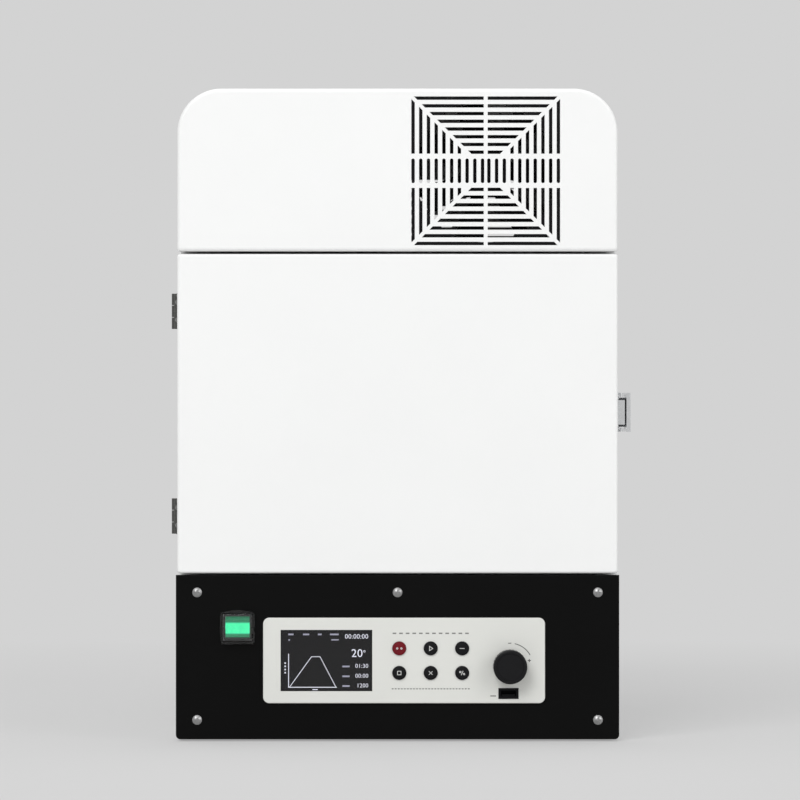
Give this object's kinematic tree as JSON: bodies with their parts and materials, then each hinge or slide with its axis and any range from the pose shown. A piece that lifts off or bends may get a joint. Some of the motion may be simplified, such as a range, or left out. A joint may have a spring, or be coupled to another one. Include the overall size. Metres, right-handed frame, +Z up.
{
  "type": "microwave sintering furnace",
  "caption": "Bench-top microwave sintering furnace with a side-hinged door, draw latch, slotted fan hood and a control panel with display, keys and knob.",
  "frame": {"origin": "on the table under the middle of the furnace", "axes": "+X right as the furnace is faced, +Y to the back, +Z up"},
  "size_m": [0.3762, 0.451, 0.53],
  "materials": {
    "white_paint": "satin",
    "black_panel": "satin",
    "zinc_steel": "matte",
    "stainless": "satin",
    "dark_steel": "satin",
    "latch_steel": "polished",
    "screw_steel": "satin",
    "fibre_board": "ceramic fibre board, matte",
    "silicon_carbide": "matte",
    "alumina": "matte",
    "aluminium": "satin",
    "core_iron": "matte",
    "copper": "enamelled",
    "bezel_plastic": "satin",
    "black_plastic": "satin",
    "red_plastic": "satin",
    "display_glass": "gloss",
    "circuit_board": "satin",
    "clear_plastic": "gloss",
    "green_lens": "gloss",
    "rubber": "matte",
    "gasket": "matte",
    "contact_metal": "satin"
  },
  "bodies": {
    "case": {"base_tray": "zinc_steel", "rubber_feet": "rubber", "outer_wrap": "white_paint", "hood": "white_paint", "face_frame": "white_paint", "cavity_liner": "stainless", "muffle_floor": "fibre_board", "muffle_roof": "fibre_board", "muffle_sides": "fibre_board", "muffle_back": "fibre_board", "susceptor_plates": "silicon_carbide", "hearth_tile": "alumina", "thermocouple": "alumina", "waveguide": "aluminium", "magnetron": "aluminium", "transformer_core": "core_iron", "transformer_windings": "copper", "hv_capacitor": "aluminium", "power_supply": "zinc_steel", "front_panel": "black_panel", "front_panel_screws": "screw_steel", "control_bezel": "bezel_plastic", "display_module": "black_plastic", "display_glass": "display_glass", "control_board": "circuit_board", "encoder_body": "black_plastic", "usb_port": "black_plastic", "switch_housing": "black_plastic", "switch_cover": "clear_plastic", "fan_frame": "black_plastic", "interlock_sensor": "black_plastic", "hinge_leaves_case": "dark_steel", "hinge_pins": "dark_steel", "side_screws_case": "screw_steel", "latch_base": "latch_steel", "rear_panel": "white_paint", "rear_screws": "screw_steel", "inlet_housing": "black_plastic", "inlet_pins": "contact_metal"},
    "door": {"door_shell": "white_paint", "door_inner_plate": "stainless", "door_core": "fibre_board", "door_gasket": "gasket", "door_plug": "fibre_board", "hinge_leaves_door": "dark_steel", "latch_keeper": "latch_steel", "side_screws_door": "screw_steel"},
    "latch_lever": {"latch_lever": "latch_steel"},
    "latch_loop": {"latch_loop": "latch_steel"},
    "knob": {"knob": "black_plastic", "encoder_shaft": "contact_metal"},
    "rocker": {"rocker": "green_lens"},
    "fan_rotor": {"fan_rotor": "black_plastic"},
    "button_start": {"button_start": "red_plastic"},
    "button_program": {"button_program": "black_plastic"},
    "button_preset": {"button_preset": "black_plastic"},
    "button_stop": {"button_stop": "black_plastic"},
    "button_clear": {"button_clear": "black_plastic"},
    "button_step": {"button_step": "black_plastic"}
  },
  "joints": [
    {"name": "door_hinge", "type": "hinge", "parent": "case", "child": "door", "pos_m": [-0.1824, -0.1615, 0.2659], "axis": [0, 0, -1], "range_deg": [0, 115]},
    {"name": "latch_lever_pivot", "type": "hinge", "parent": "case", "child": "latch_lever", "pos_m": [0.1835, -0.15, 0.2669], "axis": [0, 0, -1], "range_deg": [0, 90]},
    {"name": "latch_loop_pivot", "type": "hinge", "parent": "latch_lever", "child": "latch_loop", "pos_m": [0.1832, -0.138, 0.2669], "axis": [0, 0, 1], "range_deg": [0, 90]},
    {"name": "knob_turn", "type": "hinge", "parent": "case", "child": "knob", "pos_m": [0.0912, -0.215, 0.061], "axis": [0, 1, 0], "continuous": true},
    {"name": "power_rocker", "type": "hinge", "parent": "case", "child": "rocker", "pos_m": [-0.1299, -0.2045, 0.0926], "axis": [-1, 0, 0], "range_deg": [0, 20]},
    {"name": "fan_spin", "type": "hinge", "parent": "case", "child": "fan_rotor", "pos_m": [0.0716, -0.19, 0.4631], "axis": [0, 1, 0], "continuous": true},
    {"name": "button_start_press", "type": "slide", "parent": "case", "child": "button_start", "axis": [0, 1, 0], "range_m": [0, 0.0008], "stiffness_N_per_m": 600, "springref_m": -0.0015},
    {"name": "button_program_press", "type": "slide", "parent": "case", "child": "button_program", "axis": [0, 1, 0], "range_m": [0, 0.0008], "stiffness_N_per_m": 600, "springref_m": -0.0015},
    {"name": "button_preset_press", "type": "slide", "parent": "case", "child": "button_preset", "axis": [0, 1, 0], "range_m": [0, 0.0008], "stiffness_N_per_m": 600, "springref_m": -0.0015},
    {"name": "button_stop_press", "type": "slide", "parent": "case", "child": "button_stop", "axis": [0, 1, 0], "range_m": [0, 0.0008], "stiffness_N_per_m": 600, "springref_m": -0.0015},
    {"name": "button_clear_press", "type": "slide", "parent": "case", "child": "button_clear", "axis": [0, 1, 0], "range_m": [0, 0.0008], "stiffness_N_per_m": 600, "springref_m": -0.0015},
    {"name": "button_step_press", "type": "slide", "parent": "case", "child": "button_step", "axis": [0, 1, 0], "range_m": [0, 0.0008], "stiffness_N_per_m": 600, "springref_m": -0.0015}
  ],
  "couplings": [
    {"joint": "latch_loop_pivot", "follows": "latch_lever_pivot", "ratio": 1}
  ]
}
